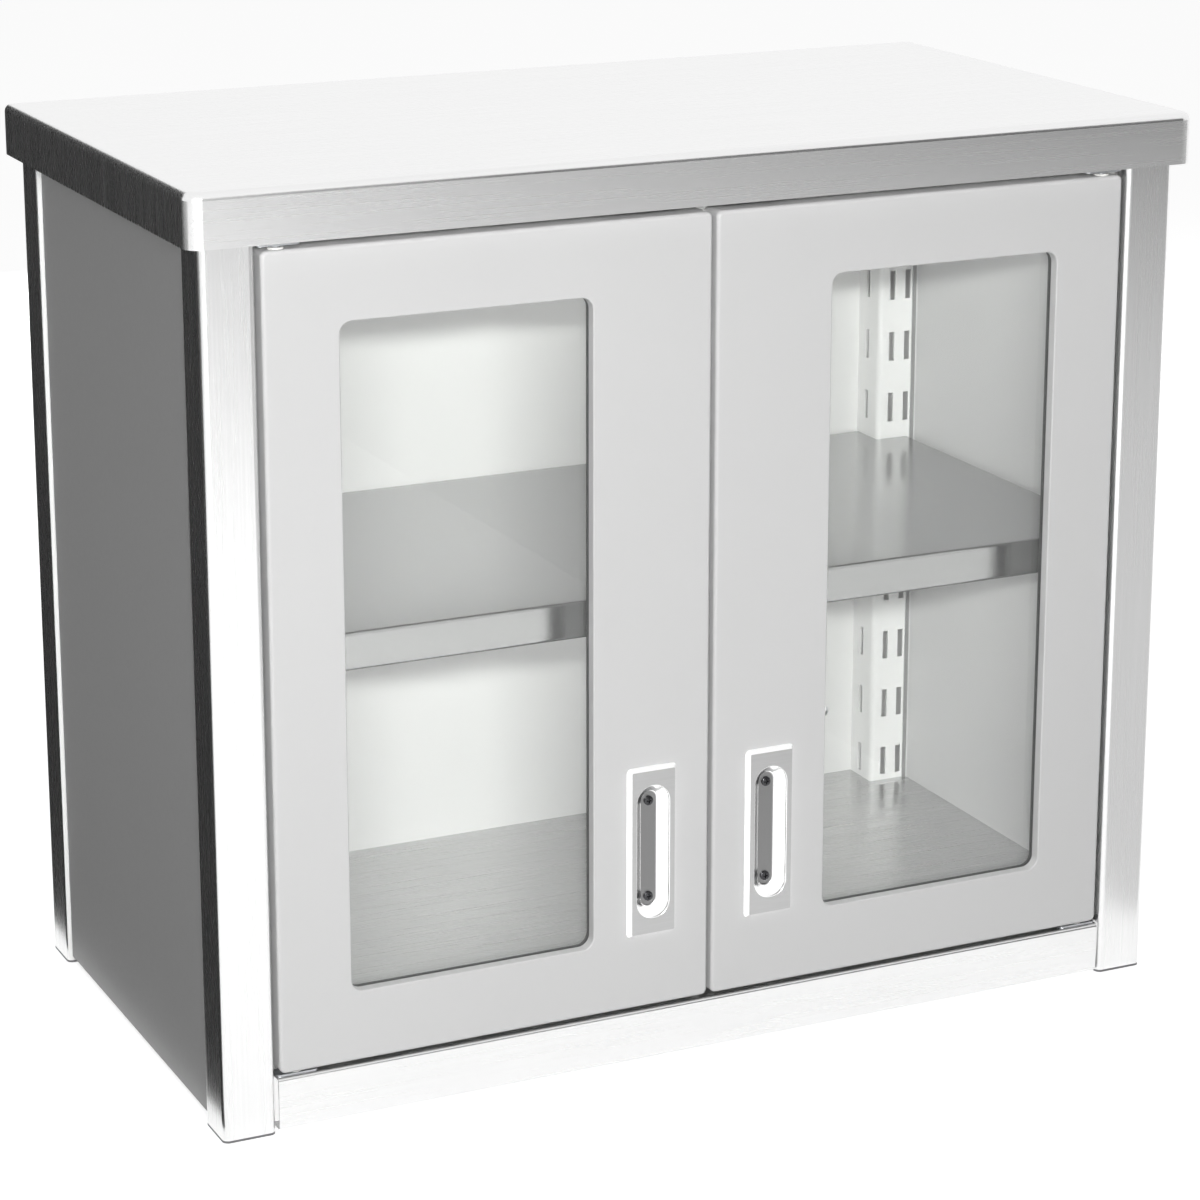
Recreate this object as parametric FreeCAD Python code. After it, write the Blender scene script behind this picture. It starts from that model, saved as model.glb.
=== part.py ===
"""Wall cabinet of tube and folded sheet steel with two inset glazed doors, in millimetres.

X runs to the right, Y from the front to the wall and Z up.  The origin is the middle of the
footprint, on the plane that the posts stand on.  Pieces are drawn for the right side and mirrored.
"""
import FreeCAD, Part
import os
from FreeCAD import Vector

# Carcass
BODY_WIDTH = 680.0
BODY_DEPTH = 360.0
TOTAL_HEIGHT = 605.0
TUBE = 35.0
TUBE_WALL = 1.5
TUBE_CORNER = 4.0
SHEET = 1.2
FOLD = 2.5

# Top cap
CAP_SHEET = 1.5
CAP_OVERHANG = 10.0
CAP_APRON = 34.0
CAP_CORNER = 10.0
CAP_NOSE = 5.0
CAP_CLEARANCE = 0.5

# Post end plugs
PLUG_FLANGE = 1.5
PLUG_SPIGOT = 14.0
PLUG_CLEARANCE = 0.15

# Slots punched in the posts
SLOT_WIDTH = 4.5
SLOT_HEIGHT = 22.0
SLOT_PITCH = 47.0
SLOT_FIRST = 52.5
SLOT_COLUMN_SPACING = 13.0
SLOT_MARGIN = 24.0

# Side, back and ceiling panels
PANEL_FOOT = 4.0
PANEL_RECESS = 2.5
PANEL_RETURN = 5.0
CEILING_RETURN = 15.0

# Wall rails and their bolt holes
RAIL_BAR = 3.0
RAIL_BAR_HEIGHT = 40.0
WALL_HOLE_RADIUS = 4.5
WALL_HOLE_INSET = 25.0
WALL_HOLES_DROP = 30.0
WALL_HOLES_RISE = 51.5

# Floor tray
FLOOR_TOP = 37.0
FLOOR_SKIRT = 20.0
FASCIA_FOOT = 2.0
FASCIA_RETURN = 12.0
FASCIA_GAP = 2.0

# Shelf and its hook-in rails
SHELF_SLOT = 5
SHELF_SETBACK = 38.0
SHELF_LIP = 25.0
SHELF_LIP_RETURN = 10.0
SHELF_LIP_GAP = 3.0
SHELF_RELIEF = 6.0
SHELF_TURN = 15.0
SHELF_CLEARANCE = 0.5
RAIL_SHEET = 2.0
RAIL_FOLD = 3.0
RAIL_WIDTH = 20.0
RAIL_HEIGHT = 36.0
RAIL_RISE = 33.0
HOOK_NECK = 14.0
HOOK_NOSE = 5.0
HOOK_THICKNESS = 3.0
HOOK_CLEARANCE = 0.3

# Doors
DOOR_GAP_SIDE = 3.5
DOOR_GAP_TOP = 3.5
DOOR_GAP_MIDDLE = 3.0
DOOR_THICKNESS = 20.0
DOOR_CORNER = 4.0
STILE_HINGE = 49.0
STILE_MEETING = 83.0
WINDOW_RAIL = 47.0
WINDOW_CORNER = 8.0
WINDOW_FRONT_RETURN = 7.0
WINDOW_EDGE = 1.0
LINER_RECESS = 0.6
LINER_RETURN = 5.0
LINER_CLEARANCE = 0.1
LINER_STEP = 5.5

# Glazing
GLASS = 4.0
GLASS_LAP = 8.0
GASKET_LIP = 1.0
GASKET_WEB = 1.5
GASKET_SETBACK = 0.3
GASKET_CLEARANCE = 0.2

# Flush pulls
PULL_SIDE_BORDER = 6.5
PULL_END_BORDER = 13.0
PULL_PROUD = 3.0
PULL_CORNER = 3.5
PULL_BEVEL = 2.7
PULL_ABOVE_DOOR_FOOT = 108.0
CUP_WIDTH = 23.0
CUP_LENGTH = 91.0
CUP_DEPTH = 5.0
CUP_WALL = 1.2
CUP_LAND = 1.5
CUP_FLOOR_BORDER = 2.4
CUP_SCOOP = 2.5
CUP_RIM = 0.8
CUP_CLEARANCE = 0.3
PULL_SCREW_FROM_END = 12.5
PULL_SCREW_RADIUS = 1.9
PULL_SCREW_HEAD_RADIUS = 3.2
PULL_SCREW_HEAD = 1.6
PULL_SCREW_DOME = 0.6
PULL_SCREW_CLEARANCE = 0.1
PULL_SCREW_END = 0.8
CLAMP_SHEET = 2.0
CLAMP_FOLD = 3.0
CLAMP_WIDTH = 16.0
CLAMP_LEG_GAP = 4.0

# Pivots
PIVOT_FROM_EDGE = 12.0
PIVOT_FROM_FRONT = 8.0
PIN_RADIUS = 3.0
PIN_REACH = 16.0
PIN_CHAMFER = 0.8
PIN_CLEARANCE = 0.08
PIN_END_GAP = 1.0
PIVOT_PLATE = 1.2
PIVOT_PLATE_LENGTH = 28.0
PIVOT_PLATE_WIDTH = 11.0
PIVOT_PLATE_CORNER = 3.0
BOSS_RADIUS = 5.0
BOSS_HEIGHT = 1.0
BOSS_CLEARANCE = 0.2
PIVOT_RUNNING_GAP = 0.3
BLOCK_LENGTH = 24.0
BLOCK_HEIGHT = 21.0
BLOCK_CORNER = 2.0
BLOCK_CLEARANCE = 0.4

# Catches
CATCH_LENGTH = 46.0
CATCH_HEIGHT = 14.0
CATCH_DEPTH = 12.0
CATCH_CORNER = 2.0
CATCH_FROM_MIDDLE = 16.0
CATCH_GAP = 0.3
MAGNET_MARGIN = 5.0
MAGNET_BORDER = 2.5
MAGNET_DEPTH = 5.0
MAGNET_CLEARANCE = 0.1
STRIKE_THICKNESS = 1.5
STRIKE_CORNER = 1.5
STRIKE_BORDER = 1.0

# Planes worked out from the driving sizes
HALF_BODY = BODY_WIDTH / 2
HALF_CAP = HALF_BODY + CAP_OVERHANG
CAP_FRONT = -(BODY_DEPTH + CAP_OVERHANG) / 2
FRONT = CAP_FRONT + CAP_OVERHANG
BACK = FRONT + BODY_DEPTH
POST_INNER = HALF_BODY - TUBE
POST_MIDDLE = HALF_BODY - TUBE / 2
FRONT_POST_BACK = FRONT + TUBE
REAR_POST_FRONT = BACK - TUBE
FRAME_TOP = TOTAL_HEIGHT - CAP_SHEET
HEADER_FOOT = FRAME_TOP - TUBE
APRON_FOOT = TOTAL_HEIGHT - CAP_APRON
PANEL_OUTER = HALF_BODY - PANEL_RECESS
PANEL_INNER = PANEL_OUTER - SHEET
BACK_SHEET_BACK = BACK - RAIL_BAR
BACK_SHEET_FRONT = BACK_SHEET_BACK - SHEET
WALL_ROW_UPPER = HEADER_FOOT - WALL_HOLES_DROP
WALL_ROW_LOWER = FLOOR_TOP + WALL_HOLES_RISE
WALL_HOLE_X = POST_INNER - WALL_HOLE_INSET

DOOR_OUTER = POST_INNER - DOOR_GAP_SIDE
DOOR_MEETING = DOOR_GAP_MIDDLE / 2
DOOR_FOOT = FLOOR_TOP + PIVOT_PLATE + PIVOT_RUNNING_GAP + BOSS_HEIGHT
DOOR_TOP = HEADER_FOOT - DOOR_GAP_TOP
DOOR_BACK = FRONT + DOOR_THICKNESS
LINER_BACK = DOOR_BACK - LINER_RECESS
LINER_FRONT = LINER_BACK - SHEET
WINDOW_LOW_X = DOOR_MEETING + STILE_MEETING
WINDOW_HIGH_X = DOOR_OUTER - STILE_HINGE
WINDOW_FOOT = DOOR_FOOT + WINDOW_RAIL
WINDOW_TOP = DOOR_TOP - WINDOW_RAIL
GASKET_FRONT = FRONT + WINDOW_FRONT_RETURN
GLASS_FRONT = GASKET_FRONT + GASKET_LIP
GLASS_BACK = GLASS_FRONT + GLASS
GASKET_BACK = GLASS_BACK + GASKET_LIP

PULL_X = DOOR_MEETING + STILE_MEETING / 2
PULL_Z = DOOR_FOOT + PULL_ABOVE_DOOR_FOOT
CUP_FLOOR = FRONT + CUP_DEPTH
CUP_BACK = CUP_FLOOR + CUP_WALL
CLAMP_BACK = CUP_BACK + CLAMP_SHEET

PIVOT_X = DOOR_OUTER - PIVOT_FROM_EDGE
PIVOT_Y = FRONT + PIVOT_FROM_FRONT

SLOT_FOOT = SLOT_FIRST + SHELF_SLOT * SLOT_PITCH - SLOT_HEIGHT / 2
SHELF_RAIL_TOP = SLOT_FOOT + RAIL_RISE
SHELF_TOP = SHELF_RAIL_TOP + SHEET
SLOT_INNER_X = POST_MIDDLE - SLOT_COLUMN_SPACING / 2

ALONG = {"x": Vector(1, 0, 0), "y": Vector(0, 1, 0), "z": Vector(0, 0, 1)}
MIDDLE_PLANE = (Vector(0, 0, 0), Vector(1, 0, 0))


def box(x0, x1, y0, y1, z0, z1):
    """Box between two opposite corners."""
    return Part.makeBox(x1 - x0, y1 - y0, z1 - z0, Vector(x0, y0, z0))


def across(half, y0, y1, z0, z1):
    """Box that reaches as far to the left as to the right."""
    return box(-half, half, y0, y1, z0, z1)


def at_most(length, limit):
    """Whether a length stays within a limit, to a thousandth."""
    return length < limit + 1e-3


def same(first, second):
    """Whether two lengths agree to a thousandth."""
    return at_most(abs(first - second), 0)


def edges_along(solid, axis):
    """Straight edges that run along one axis."""
    found = []
    for edge in solid.Edges:
        if edge.Curve.TypeId == "Part::GeomLine" and same(edge.Curve.Direction.cross(ALONG[axis]).Length, 0):
            found.append(edge)
    return found


def edges_in_plane(solid, axis, level):
    """Edges that lie whole in the plane square to one axis at a level."""
    found = []
    for edge in solid.Edges:
        bounds = edge.BoundBox
        low = ALONG[axis].dot(Vector(bounds.XMin, bounds.YMin, bounds.ZMin))
        high = ALONG[axis].dot(Vector(bounds.XMax, bounds.YMax, bounds.ZMax))
        if same(low, level) and same(high, level):
            found.append(edge)
    return found


def opening_rim(solid, y, half_width, half_length, x, z):
    """Edges in a plane that faces the front which lie within an opening centred at x, z."""
    found = []
    for edge in edges_in_plane(solid, "y", y):
        middle = edge.BoundBox.Center
        if at_most(abs(middle.x - x), half_width) and at_most(abs(middle.z - z), half_length):
            found.append(edge)
    return found


def rounded_bar(axis, solid, radius):
    """Box with its four edges along an axis rounded."""
    return solid.makeFillet(radius, edges_along(solid, axis))


def square_tube(axis, x0, x1, y0, y1, z0, z1):
    """Length of the frame's round-cornered square tube, open at both ends."""
    lows = {"x": x0, "y": y0, "z": z0}
    highs = {"x": x1, "y": y1, "z": z1}
    for side in "xyz":
        if side != axis:
            lows[side] += TUBE_WALL
            highs[side] -= TUBE_WALL
    bore = box(lows["x"], highs["x"], lows["y"], highs["y"], lows["z"], highs["z"])
    bore = rounded_bar(axis, bore, TUBE_CORNER - TUBE_WALL)
    return rounded_bar(axis, box(x0, x1, y0, y1, z0, z1), TUBE_CORNER).cut(bore)


def window_block(margin, y0, y1):
    """Round-cornered block as large as the door's window and a margin all round."""
    block = box(WINDOW_LOW_X - margin, WINDOW_HIGH_X + margin, y0, y1,
                WINDOW_FOOT - margin, WINDOW_TOP + margin)
    return rounded_bar("y", block, WINDOW_CORNER + margin)


def door_block(inset, y0, y1):
    """Round-cornered block as large as the door less an inset all round."""
    block = box(DOOR_MEETING + inset, DOOR_OUTER - inset, y0, y1, DOOR_FOOT + inset, DOOR_TOP - inset)
    return rounded_bar("y", block, DOOR_CORNER - inset)


def obround(width, length, y0, y1):
    """Upright bar with half-round ends, centred on the pull."""
    radius = width / 2
    reach = length / 2 - radius
    left, right = PULL_X - radius, PULL_X + radius
    low, high = PULL_Z - reach, PULL_Z + reach
    edges = [
        Part.LineSegment(Vector(left, y0, low), Vector(left, y0, high)),
        Part.Arc(Vector(left, y0, high), Vector(PULL_X, y0, high + radius), Vector(right, y0, high)),
        Part.LineSegment(Vector(right, y0, high), Vector(right, y0, low)),
        Part.Arc(Vector(right, y0, low), Vector(PULL_X, y0, low - radius), Vector(left, y0, low)),
    ]
    outline = Part.Wire([edge.toShape() for edge in edges])
    return Part.Face(outline).extrude(Vector(0, y1 - y0, 0))


def in_plane(axis, level, first, second):
    """Point at a level on an axis, with its two other coordinates in order."""
    if axis == "x":
        return Vector(level, first, second)
    if axis == "y":
        return Vector(first, level, second)
    return Vector(first, second, level)


def plate(axis, start, end, corners):
    """Flat piece with a straight-edged outline drawn square to an axis."""
    outline = Part.makePolygon([in_plane(axis, start, *corner) for corner in corners + corners[:1]])
    return Part.Face(outline).extrude(ALONG[axis] * (end - start))


def rounded_path(points, radii):
    """Lines along a path of square turns in the XY plane, and the arcs that round its turns."""
    pieces = []
    start = points[0]
    for before, corner, after, radius in zip(points, points[1:], points[2:], radii):
        back, onward = before - corner, after - corner
        back, onward = back * (radius / back.Length), onward * (radius / onward.Length)
        middle = corner + (back + onward) * (1 - 0.5 ** 0.5)
        pieces.append(Part.LineSegment(start, corner + back))
        pieces.append(Part.Arc(corner + back, middle, corner + onward))
        start = corner + onward
    return pieces + [Part.LineSegment(start, points[-1])]


def folded_strip(axis, start, end, path, sheet, fold):
    """Sheet folded along a path drawn square to an axis.

    The sheet lies to the left of the path, which turns left at every fold, so that the path is its
    outer face: it is rounded to the fold's radius there and to a sheet less on the inner face.
    """
    outer = [Vector(first, second, 0) for first, second in path]
    lefts = []
    for before, after in zip(outer, outer[1:]):
        way = after - before
        lefts.append(Vector(-way.y, way.x, 0) * (sheet / way.Length))
    corners = [corner + one + other for corner, one, other in zip(outer[1:], lefts, lefts[1:])]
    inner = [outer[0] + lefts[0]] + corners + [outer[-1] + lefts[-1]]
    folds = len(path) - 2
    pieces = rounded_path(outer, [fold] * folds) + [Part.LineSegment(outer[-1], inner[-1])]
    pieces += rounded_path(inner[::-1], [fold - sheet] * folds) + [Part.LineSegment(inner[0], outer[0])]
    profile = Part.Face(Part.Wire([piece.toShape() for piece in pieces]))
    right, up = in_plane(axis, 0, 1, 0), in_plane(axis, 0, 0, 1)
    away = right.cross(up)
    turned = FreeCAD.Placement(in_plane(axis, start, 0, 0), FreeCAD.Rotation(right, up, away, "ZXY"))
    profile.Placement = turned
    return profile.extrude(ALONG[axis] * (end - start))


def folded_pan(outer_boxes, inner_boxes):
    """Sheet folded round the outline of joined boxes: the boxes less the same boxes drawn in."""
    outer = outer_boxes[0].fuse(outer_boxes[1:]).removeSplitter()
    inner = inner_boxes[0].fuse(inner_boxes[1:]).removeSplitter()
    return outer.cut(inner)


# Top cap: a folded sheet with an apron on three sides, open at the wall, with an inward return
def top_cap():
    def hood(inset, corner, nose, back):
        block = across(HALF_CAP - inset, CAP_FRONT + inset, back, APRON_FOOT, TOTAL_HEIGHT - inset)
        uprights = []
        for edge in edges_along(block, "z"):
            if edge.Vertexes[0].Y < FRONT:
                uprights.append(edge)
        block = block.makeFillet(corner, uprights)
        rim = []
        for edge in edges_in_plane(block, "z", TOTAL_HEIGHT - inset):
            if not same(edge.BoundBox.YMin, back):
                rim.append(edge)
        return block.makeFillet(nose, rim)

    shell = hood(0, CAP_CORNER, CAP_NOSE, BACK).cut(
        hood(CAP_SHEET, CAP_CORNER - CAP_SHEET, CAP_NOSE - CAP_SHEET, BACK + CAP_SHEET))
    slab = hood(0, CAP_CORNER, CAP_NOSE, BACK).common(
        across(HALF_CAP, CAP_FRONT, BACK, APRON_FOOT, APRON_FOOT + CAP_SHEET))
    well = across(HALF_BODY + CAP_CLEARANCE, FRONT - CAP_CLEARANCE, BACK, APRON_FOOT, APRON_FOOT + CAP_SHEET)
    return shell.fuse(slab.cut(well)).removeSplitter()


# Posts: square tubes with twin columns of slots on the faces that look at each other
def slot_heights():
    count = int((HEADER_FOOT - SLOT_MARGIN - SLOT_FIRST) // SLOT_PITCH) + 1
    return [SLOT_FIRST + step * SLOT_PITCH for step in range(count)]


def right_post(y0, slot_wall_y, inner_column):
    post = square_tube("z", POST_INNER, HALF_BODY, y0, y0 + TUBE, PLUG_FLANGE, FRAME_TOP)
    half_width, half_height = SLOT_WIDTH / 2, SLOT_HEIGHT / 2
    slots = []
    for height in slot_heights():
        low, high = height - half_height, height + half_height
        for x in (POST_MIDDLE - SLOT_COLUMN_SPACING / 2, POST_MIDDLE + SLOT_COLUMN_SPACING / 2):
            slots.append(box(x - half_width, x + half_width, slot_wall_y, slot_wall_y + TUBE_WALL, low, high))
        if inner_column:
            y = y0 + TUBE / 2
            slots.append(box(POST_INNER, POST_INNER + TUBE_WALL, y - half_width, y + half_width, low, high))
    return post.cut(slots)


def end_plug(y0):
    flange = box(POST_INNER, HALF_BODY, y0, y0 + TUBE, 0, PLUG_FLANGE)
    inset = TUBE_WALL + PLUG_CLEARANCE
    spigot = box(POST_INNER + inset, HALF_BODY - inset, y0 + inset, y0 + TUBE - inset,
                 0, PLUG_FLANGE + PLUG_SPIGOT)
    return rounded_bar("z", flange, TUBE_CORNER).fuse(rounded_bar("z", spigot, TUBE_CORNER - TUBE_WALL))


# Panels: folded sheets between the posts
def right_side_panel():
    inner_edge = PANEL_OUTER - PANEL_RETURN
    pan = box(inner_edge, PANEL_OUTER, FRONT_POST_BACK, REAR_POST_FRONT, PANEL_FOOT, HEADER_FOOT)
    hollow = box(inner_edge, PANEL_INNER, FRONT_POST_BACK + SHEET, REAR_POST_FRONT - SHEET,
                 PANEL_FOOT + SHEET, HEADER_FOOT - SHEET)
    pan = pan.makeFillet(FOLD, edges_in_plane(pan, "x", PANEL_OUTER))
    hollow = hollow.makeFillet(FOLD - SHEET, edges_in_plane(hollow, "x", PANEL_INNER))
    return pan.cut(hollow)


def wall_bores(y0, y1):
    bores = []
    for x in (-WALL_HOLE_X, WALL_HOLE_X):
        for z in (WALL_ROW_LOWER, WALL_ROW_UPPER):
            bores.append(Part.makeCylinder(WALL_HOLE_RADIUS, y1 - y0, Vector(x, y0, z), ALONG["y"]))
    return bores


def back_panel():
    path = [(BACK, HEADER_FOOT), (BACK_SHEET_FRONT, HEADER_FOOT),
            (BACK_SHEET_FRONT, PANEL_FOOT), (BACK, PANEL_FOOT)]
    pan = folded_strip("x", -POST_INNER, POST_INNER, path, SHEET, FOLD)
    return pan.cut(wall_bores(BACK_SHEET_FRONT, BACK_SHEET_BACK))


def wall_rail(row):
    bar = across(POST_INNER, BACK_SHEET_BACK, BACK, row - RAIL_BAR_HEIGHT / 2, row + RAIL_BAR_HEIGHT / 2)
    return bar.cut(wall_bores(BACK_SHEET_BACK, BACK))


def ceiling_panel():
    pan = across(POST_INNER, FRONT_POST_BACK, REAR_POST_FRONT, HEADER_FOOT, HEADER_FOOT + CEILING_RETURN)
    hollow = across(POST_INNER - SHEET, FRONT_POST_BACK + SHEET, REAR_POST_FRONT - SHEET,
                    HEADER_FOOT + SHEET, HEADER_FOOT + CEILING_RETURN)
    pan = pan.makeFillet(FOLD, edges_in_plane(pan, "z", HEADER_FOOT))
    hollow = hollow.makeFillet(FOLD - SHEET, edges_in_plane(hollow, "z", HEADER_FOOT + SHEET))
    return pan.cut(hollow)


# Floor tray: a sheet notched round the posts, folded down all round, with a deep fascia in front
def floor_tray():
    fascia_half = POST_INNER - FASCIA_GAP
    foot = FLOOR_TOP - FLOOR_SKIRT

    def plan(inset, top):
        between = (FRONT_POST_BACK + inset, REAR_POST_FRONT - inset, foot, top)
        between_folds = (FRONT_POST_BACK + FOLD + inset, REAR_POST_FRONT - FOLD - inset, foot, top)
        return [
            across(fascia_half - inset, FRONT + FASCIA_RETURN - inset, BACK_SHEET_FRONT - inset, foot, top),
            across(PANEL_OUTER - PANEL_RETURN - inset, *between),
            across(PANEL_INNER - inset, *between_folds),
            across(POST_INNER - inset, FRONT_POST_BACK + inset, BACK_SHEET_FRONT - inset, foot, top),
        ]

    tray = folded_pan(plan(0, FLOOR_TOP), plan(SHEET, FLOOR_TOP - SHEET))
    behind = FRONT + FASCIA_RETURN
    path = [(behind, FLOOR_TOP), (FRONT, FLOOR_TOP), (FRONT, FASCIA_FOOT), (behind, FASCIA_FOOT)]
    fascia = folded_strip("x", -fascia_half, fascia_half, path, SHEET, FOLD)
    return tray.fuse(fascia).removeSplitter()


# Shelf: a sheet notched round the rear posts, with a deep lip in front and short folds elsewhere
def shelf():
    front = FRONT + SHELF_SETBACK
    back = BACK_SHEET_FRONT - SHELF_CLEARANCE
    notch = REAR_POST_FRONT - SHELF_CLEARANCE
    half = PANEL_OUTER - PANEL_RETURN - SHELF_CLEARANCE
    half_back = POST_INNER - SHELF_CLEARANCE
    half_lip = SLOT_INNER_X + RAIL_SHEET / 2 - RAIL_WIDTH - SHELF_LIP_GAP
    under = SHELF_TOP - SHEET
    lip_foot = SHELF_TOP - SHELF_LIP
    turn_foot = SHELF_TOP - SHELF_TURN
    behind = front + SHELF_LIP_RETURN
    path = [(back, turn_foot), (back, SHELF_TOP), (front, SHELF_TOP), (front, lip_foot), (behind, lip_foot)]
    board = folded_strip("x", -half_back, half_back, path, SHEET, FOLD)
    side = [(half, turn_foot), (half, SHELF_TOP), (half_back - SHEET, SHELF_TOP)]
    wing = folded_strip("y", front + SHELF_RELIEF, notch, side, SHEET, FOLD)
    lip_end = box(half_lip, half_back, front, front + SHELF_RELIEF, lip_foot, SHELF_TOP).fuse(
        box(half_lip, half_back, front, behind, lip_foot, under))
    board = board.cut([lip_end, mirrored(lip_end)])
    return board.fuse([wing, mirrored(wing)]).removeSplitter()


# Shelf rails: angles with a hook at each end that drops into a slot of the front and the rear post
def right_shelf_rail():
    near, far = SLOT_INNER_X - RAIL_SHEET / 2, SLOT_INNER_X + RAIL_SHEET / 2
    top = SHELF_RAIL_TOP
    path = [(far, top - RAIL_HEIGHT), (far, top), (far - RAIL_WIDTH, top)]
    angle = folded_strip("y", FRONT_POST_BACK, REAR_POST_FRONT, path, RAIL_SHEET, RAIL_FOLD)
    neck_reach = TUBE_WALL + HOOK_CLEARANCE
    nose_reach = neck_reach + HOOK_THICKNESS
    hooks = []
    for face, inward in ((FRONT_POST_BACK, -1), (REAR_POST_FRONT, 1)):
        tip, root = face + inward * nose_reach, face + inward * neck_reach
        neck_top = SLOT_FOOT + HOOK_NECK
        nose = SLOT_FOOT - HOOK_NOSE
        outline = [(face, neck_top), (tip, neck_top), (tip, nose),
                   (root, nose), (root, SLOT_FOOT), (face, SLOT_FOOT)]
        hooks.append(plate("x", near, far, outline))
    return angle.fuse(hooks).removeSplitter()


# Pivots: a plate with a pin on the floor and another under the header
def right_pivot(upper):
    toward = -1 if upper else 1
    seat = HEADER_FOOT if upper else FLOOR_TOP
    face = seat + toward * PIVOT_PLATE
    door_edge = DOOR_TOP if upper else DOOR_FOOT
    tip = door_edge + toward * PIN_REACH
    outer = POST_INNER - FASCIA_GAP
    half_width = PIVOT_PLATE_WIDTH / 2
    plate = box(outer - PIVOT_PLATE_LENGTH, outer, PIVOT_Y - half_width, PIVOT_Y + half_width,
                min(seat, face), max(seat, face))
    plate = rounded_bar("z", plate, PIVOT_PLATE_CORNER)
    pin = Part.makeCylinder(PIN_RADIUS, abs(tip - seat), Vector(PIVOT_X, PIVOT_Y, min(seat, tip)))
    pin = pin.makeChamfer(PIN_CHAMFER, edges_in_plane(pin, "z", tip))
    return plate.fuse(pin).removeSplitter()


def right_bearing_block(upper):
    toward = 1 if upper else -1
    edge = DOOR_TOP if upper else DOOR_FOOT
    seat = edge - toward * SHEET
    foot = seat - toward * BLOCK_HEIGHT
    boss_end = edge + toward * BOSS_HEIGHT
    outer = DOOR_OUTER - DOOR_CORNER
    back = LINER_BACK - LINER_RETURN - BLOCK_CLEARANCE
    block = box(outer - BLOCK_LENGTH, outer, FRONT + FOLD, back, min(seat, foot), max(seat, foot))
    block = rounded_bar("z", block, BLOCK_CORNER)
    boss_base = Vector(PIVOT_X, PIVOT_Y, min(seat, boss_end))
    boss = Part.makeCylinder(BOSS_RADIUS, abs(boss_end - seat), boss_base)
    bore_end = edge - toward * (PIN_REACH + PIN_END_GAP)
    bore_base = Vector(PIVOT_X, PIVOT_Y, min(boss_end, bore_end))
    bore = Part.makeCylinder(PIN_RADIUS + PIN_CLEARANCE, abs(boss_end - bore_end), bore_base)
    return block.fuse(boss).removeSplitter().cut(bore)


# Door skin: a folded pan with the window turned in, the pull's cut-out and the two pivot holes
def right_door_skin():
    def tub(inset):
        block = door_block(inset, FRONT + inset, DOOR_BACK)
        return block.makeFillet(FOLD - inset, edges_in_plane(block, "y", FRONT + inset))

    skin = tub(0).cut(tub(SHEET))
    skin = skin.fuse(window_block(SHEET, FRONT, GASKET_FRONT)).removeSplitter()
    skin = skin.cut(window_block(0, FRONT, GASKET_FRONT))
    window_x, window_z = (WINDOW_LOW_X + WINDOW_HIGH_X) / 2, (WINDOW_FOOT + WINDOW_TOP) / 2
    rim = opening_rim(skin, FRONT, WINDOW_HIGH_X - window_x, WINDOW_TOP - window_z, window_x, window_z)
    skin = skin.makeFillet(WINDOW_EDGE, rim)
    cup_hole = 2 * (CUP_WALL + CUP_CLEARANCE)
    skin = skin.cut(obround(CUP_WIDTH + cup_hole, CUP_LENGTH + cup_hole, FRONT, FRONT + SHEET))
    holes = []
    for z in (DOOR_FOOT, DOOR_TOP - SHEET):
        holes.append(Part.makeCylinder(BOSS_RADIUS + BOSS_CLEARANCE, SHEET, Vector(PIVOT_X, PIVOT_Y, z)))
    return skin.cut(holes)


# Door liner: a pan that closes the back of the skin, its wider window turned forward onto the gasket
def right_door_liner():
    inset = SHEET + LINER_CLEARANCE
    front = LINER_BACK - LINER_RETURN
    liner = door_block(inset, front, LINER_BACK).cut(door_block(inset + SHEET, front, LINER_FRONT))
    liner = liner.fuse(window_block(LINER_STEP + SHEET, GASKET_BACK, LINER_BACK)).removeSplitter()
    return liner.cut(window_block(LINER_STEP, GASKET_BACK, LINER_BACK))


# Glazing: a pane held round its edge by a channel gasket
def right_glass():
    return window_block(GLASS_LAP, GLASS_FRONT, GLASS_BACK)


def right_gasket():
    ring = window_block(GLASS_LAP + GASKET_WEB, GASKET_FRONT, GASKET_BACK)
    ring = ring.cut(window_block(GASKET_SETBACK, GASKET_FRONT, GASKET_BACK))
    return ring.cut(window_block(GLASS_LAP + GASKET_CLEARANCE, GLASS_FRONT, GLASS_BACK))


# Flush pull: a bevelled plate with a scooped cup, held by two screws and a clamp behind the skin
def pull_screw_places():
    reach = CUP_LENGTH / 2 - PULL_SCREW_FROM_END
    return [Vector(PULL_X, CUP_FLOOR, z) for z in (PULL_Z - reach, PULL_Z + reach)]


def cup_form(wall):
    """The cup grown by a wall: upright under the rim, then leaning in to a round-footed floor."""
    front = FRONT - PULL_PROUD
    floor_half = PULL_SCREW_HEAD_RADIUS + CUP_FLOOR_BORDER
    lean = CUP_WIDTH / 2 - floor_half
    drop = CUP_FLOOR - front - CUP_LAND
    slant = (lean ** 2 + drop ** 2) ** 0.5
    rim_half = CUP_WIDTH / 2 + wall
    foot_half = floor_half + wall * (slant - lean) / drop
    knee = front + CUP_LAND + wall * (slant - drop) / lean
    floor = CUP_FLOOR + wall
    low, high = PULL_Z - CUP_LENGTH / 2 + CUP_WIDTH / 2, PULL_Z + CUP_LENGTH / 2 - CUP_WIDTH / 2
    land = obround(2 * rim_half, CUP_LENGTH + 2 * wall, front, knee)
    ends = [Part.makeCone(rim_half, foot_half, floor - knee, Vector(PULL_X, knee, z), ALONG["y"])
            for z in (low, high)]
    outline = [(PULL_X - rim_half, knee), (PULL_X + rim_half, knee),
               (PULL_X + foot_half, floor), (PULL_X - foot_half, floor)]
    form = land.fuse(ends + [plate("z", low, high, outline)]).removeSplitter()
    return form.makeFillet(CUP_SCOOP + wall, edges_in_plane(form, "y", floor))


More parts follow.
